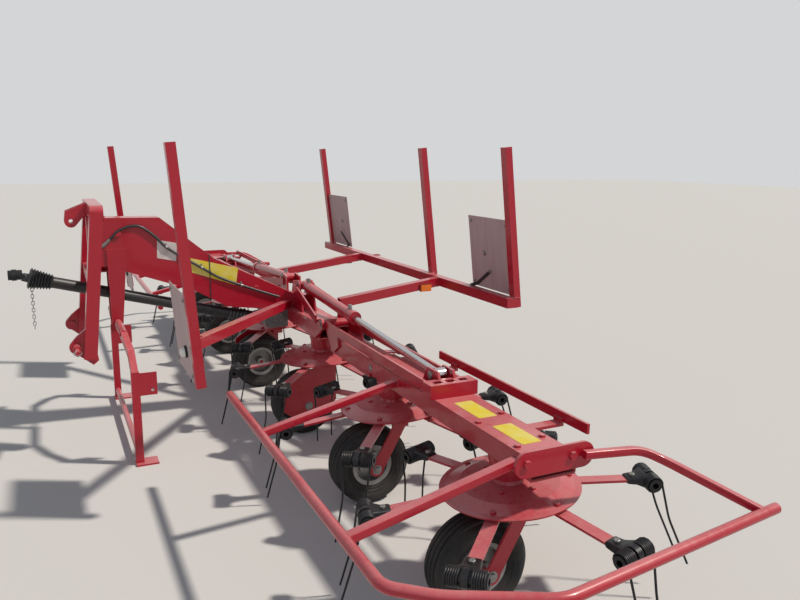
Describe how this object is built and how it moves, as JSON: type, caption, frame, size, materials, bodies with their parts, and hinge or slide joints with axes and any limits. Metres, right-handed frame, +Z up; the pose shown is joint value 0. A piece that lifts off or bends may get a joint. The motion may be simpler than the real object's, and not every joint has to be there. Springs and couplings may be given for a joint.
{
  "type": "hay tedder",
  "caption": "Mounted hay tedder with tined reels on folding wings, small wheels under each reel, guard hoops, a swivelling headstock and a stand.",
  "frame": {"origin": "on the ground, under the middle of the machine's length and width", "axes": "+X to the machine's left, -Y towards the tractor, +Z up"},
  "size_m": [6.7204, 2.5674, 1.7683],
  "materials": {
    "red_paint": "satin",
    "black_paint": "satin",
    "cast_grey": "satin",
    "rubber": "matt",
    "zinc": "satin",
    "chrome": "gloss",
    "panel": "satin",
    "amber": "gloss",
    "black_plastic": "satin"
  },
  "bodies": {
    "base": {"centre_beam": "red_paint", "drawbar": "red_paint", "fold_tower": "red_paint", "main_gearbox": "cast_grey", "centre_gear": "red_paint", "rear_frame": "red_paint", "front_frame": "red_paint", "marker_panels": "panel", "marker_lamps": "amber", "pto_shaft": "black_plastic", "hose": "rubber"},
    "headstock": {"headstock": "red_paint"},
    "stand": {"stand": "red_paint"},
    "left_wing": {"left_wing_beam": "red_paint", "left_wing_gear": "red_paint", "left_guard": "red_paint"},
    "left_barrel": {"left_barrel": "red_paint"},
    "left_rod": {"left_rod": "chrome"},
    "right_wing": {"right_wing_beam": "red_paint", "right_wing_gear": "red_paint", "right_guard": "red_paint"},
    "right_barrel": {"right_barrel": "red_paint"},
    "right_rod": {"right_rod": "chrome"},
    "reel_1": {"rotor_1": "red_paint", "tines_1": "black_paint"},
    "wheel_1": {"rim_1": "zinc", "tyre_1": "rubber"},
    "reel_2": {"rotor_2": "red_paint", "tines_2": "black_paint"},
    "wheel_2": {"rim_2": "zinc", "tyre_2": "rubber"},
    "reel_3": {"rotor_3": "red_paint", "tines_3": "black_paint"},
    "wheel_3": {"rim_3": "zinc", "tyre_3": "rubber"},
    "reel_4": {"rotor_4": "red_paint", "tines_4": "black_paint"},
    "wheel_4": {"rim_4": "zinc", "tyre_4": "rubber"},
    "reel_5": {"rotor_5": "red_paint", "tines_5": "black_paint"},
    "wheel_5": {"rim_5": "zinc", "tyre_5": "rubber"},
    "reel_6": {"rotor_6": "red_paint", "tines_6": "black_paint"},
    "wheel_6": {"rim_6": "zinc", "tyre_6": "rubber"}
  },
  "joints": [
    {"name": "headstock_swivel", "type": "hinge", "parent": "base", "child": "headstock", "pos_m": [0, -0.79368, 1.2], "axis": [0, 0, 1], "range_deg": [-15, 15]},
    {"name": "stand_fold", "type": "hinge", "parent": "base", "child": "stand", "pos_m": [0, -0.70869, 0.7], "axis": [-1, 0, 0], "range_deg": [0, 75]},
    {"name": "left_wing_fold", "type": "hinge", "parent": "base", "child": "left_wing", "pos_m": [0.78, 0.45632, 0.74], "axis": [0, -1, 0], "range_deg": [0, 90]},
    {"name": "left_barrel_pivot", "type": "hinge", "parent": "base", "child": "left_barrel", "pos_m": [0.17, 0.45632, 0.87], "axis": [0, -1, 0], "range_deg": [0, 67]},
    {"name": "left_rod_slide", "type": "slide", "parent": "left_barrel", "child": "left_rod", "axis": [-0.9986, 0, 0.0537], "range_m": [0, 0.615]},
    {"name": "right_wing_fold", "type": "hinge", "parent": "base", "child": "right_wing", "pos_m": [-0.78, 0.45632, 0.74], "axis": [0, 1, 0], "range_deg": [0, 90]},
    {"name": "right_barrel_pivot", "type": "hinge", "parent": "base", "child": "right_barrel", "pos_m": [-0.17, 0.45632, 0.87], "axis": [0, 1, 0], "range_deg": [0, 67]},
    {"name": "right_rod_slide", "type": "slide", "parent": "right_barrel", "child": "right_rod", "axis": [0.9986, 0, 0.0537], "range_m": [0, 0.615]},
    {"name": "reel_spin_1", "type": "hinge", "parent": "left_wing", "child": "reel_1", "pos_m": [2.6, 0.45632, 0.5], "axis": [0, -0.0872, 0.9962], "continuous": true},
    {"name": "reel_spin_2", "type": "hinge", "parent": "left_wing", "child": "reel_2", "pos_m": [1.56, 0.45632, 0.5], "axis": [0, -0.0872, 0.9962], "continuous": true},
    {"name": "reel_spin_3", "type": "hinge", "parent": "base", "child": "reel_3", "pos_m": [0.52, 0.45632, 0.5], "axis": [0, -0.0872, 0.9962], "continuous": true},
    {"name": "reel_spin_4", "type": "hinge", "parent": "base", "child": "reel_4", "pos_m": [-0.52, 0.45632, 0.5], "axis": [0, -0.0872, 0.9962], "continuous": true},
    {"name": "reel_spin_5", "type": "hinge", "parent": "right_wing", "child": "reel_5", "pos_m": [-1.56, 0.45632, 0.5], "axis": [0, -0.0872, 0.9962], "continuous": true},
    {"name": "reel_spin_6", "type": "hinge", "parent": "right_wing", "child": "reel_6", "pos_m": [-2.6, 0.45632, 0.5], "axis": [0, -0.0872, 0.9962], "continuous": true},
    {"name": "wheel_roll_1", "type": "hinge", "parent": "left_wing", "child": "wheel_1", "pos_m": [2.6, 0.31632, 0.198], "axis": [1, 0, 0], "continuous": true},
    {"name": "wheel_roll_2", "type": "hinge", "parent": "left_wing", "child": "wheel_2", "pos_m": [1.56, 0.31632, 0.198], "axis": [1, 0, 0], "continuous": true},
    {"name": "wheel_roll_3", "type": "hinge", "parent": "base", "child": "wheel_3", "pos_m": [0.52, 0.31632, 0.198], "axis": [1, 0, 0], "continuous": true},
    {"name": "wheel_roll_4", "type": "hinge", "parent": "base", "child": "wheel_4", "pos_m": [-0.52, 0.31632, 0.198], "axis": [1, 0, 0], "continuous": true},
    {"name": "wheel_roll_5", "type": "hinge", "parent": "right_wing", "child": "wheel_5", "pos_m": [-1.56, 0.31632, 0.198], "axis": [1, 0, 0], "continuous": true},
    {"name": "wheel_roll_6", "type": "hinge", "parent": "right_wing", "child": "wheel_6", "pos_m": [-2.6, 0.31632, 0.198], "axis": [1, 0, 0], "continuous": true}
  ],
  "couplings": [
    {"joint": "left_barrel_pivot", "follows": "left_wing_fold", "ratio": 0.73},
    {"joint": "left_rod_slide", "follows": "left_wing_fold", "m_per_rad": 0.38287},
    {"joint": "right_barrel_pivot", "follows": "right_wing_fold", "ratio": 0.73},
    {"joint": "right_rod_slide", "follows": "right_wing_fold", "m_per_rad": 0.38287},
    {"joint": "reel_spin_1", "follows": "reel_spin_3", "ratio": 1},
    {"joint": "reel_spin_2", "follows": "reel_spin_3", "ratio": -1},
    {"joint": "reel_spin_4", "follows": "reel_spin_3", "ratio": -1},
    {"joint": "reel_spin_5", "follows": "reel_spin_3", "ratio": 1},
    {"joint": "reel_spin_6", "follows": "reel_spin_3", "ratio": -1}
  ]
}
